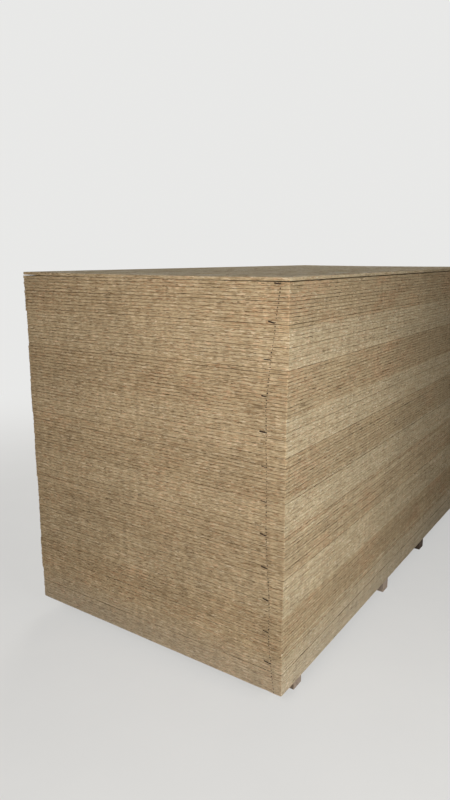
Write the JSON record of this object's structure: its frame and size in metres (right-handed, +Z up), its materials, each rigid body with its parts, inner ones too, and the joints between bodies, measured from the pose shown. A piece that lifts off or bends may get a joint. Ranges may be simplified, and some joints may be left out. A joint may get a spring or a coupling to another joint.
{
  "type": "stack of osb panels",
  "caption": "Tall flat-lying stack of oriented strand board panels, in books that alternate in tone, resting on square timber bearers.",
  "frame": {"origin": "on the floor under the middle of the stack, at the centre of its footprint", "axes": "+X along the panels' length, away from the end whose panels are counted with marks; +Y across the panels' width; +Z up"},
  "size_m": [2.504, 1.254, 1.5171],
  "materials": {
    "osb": "matt, sawn strand board edges and waxy pressed faces",
    "bearer_timber": "rough sawn softwood, dusty"
  },
  "bodies": {
    "root": {"panel_book_01": "osb", "panel_book_02": "osb", "panel_book_03": "osb", "panel_book_04": "osb", "panel_book_05": "osb", "panel_book_06": "osb", "panel_book_07": "osb", "panel_book_08": "osb", "panel_book_09": "osb", "panel_book_10": "osb", "top_panel": "osb", "bearer_1": "bearer_timber", "bearer_2": "bearer_timber", "bearer_3": "bearer_timber", "bearer_4": "bearer_timber"}
  },
  "joints": []
}
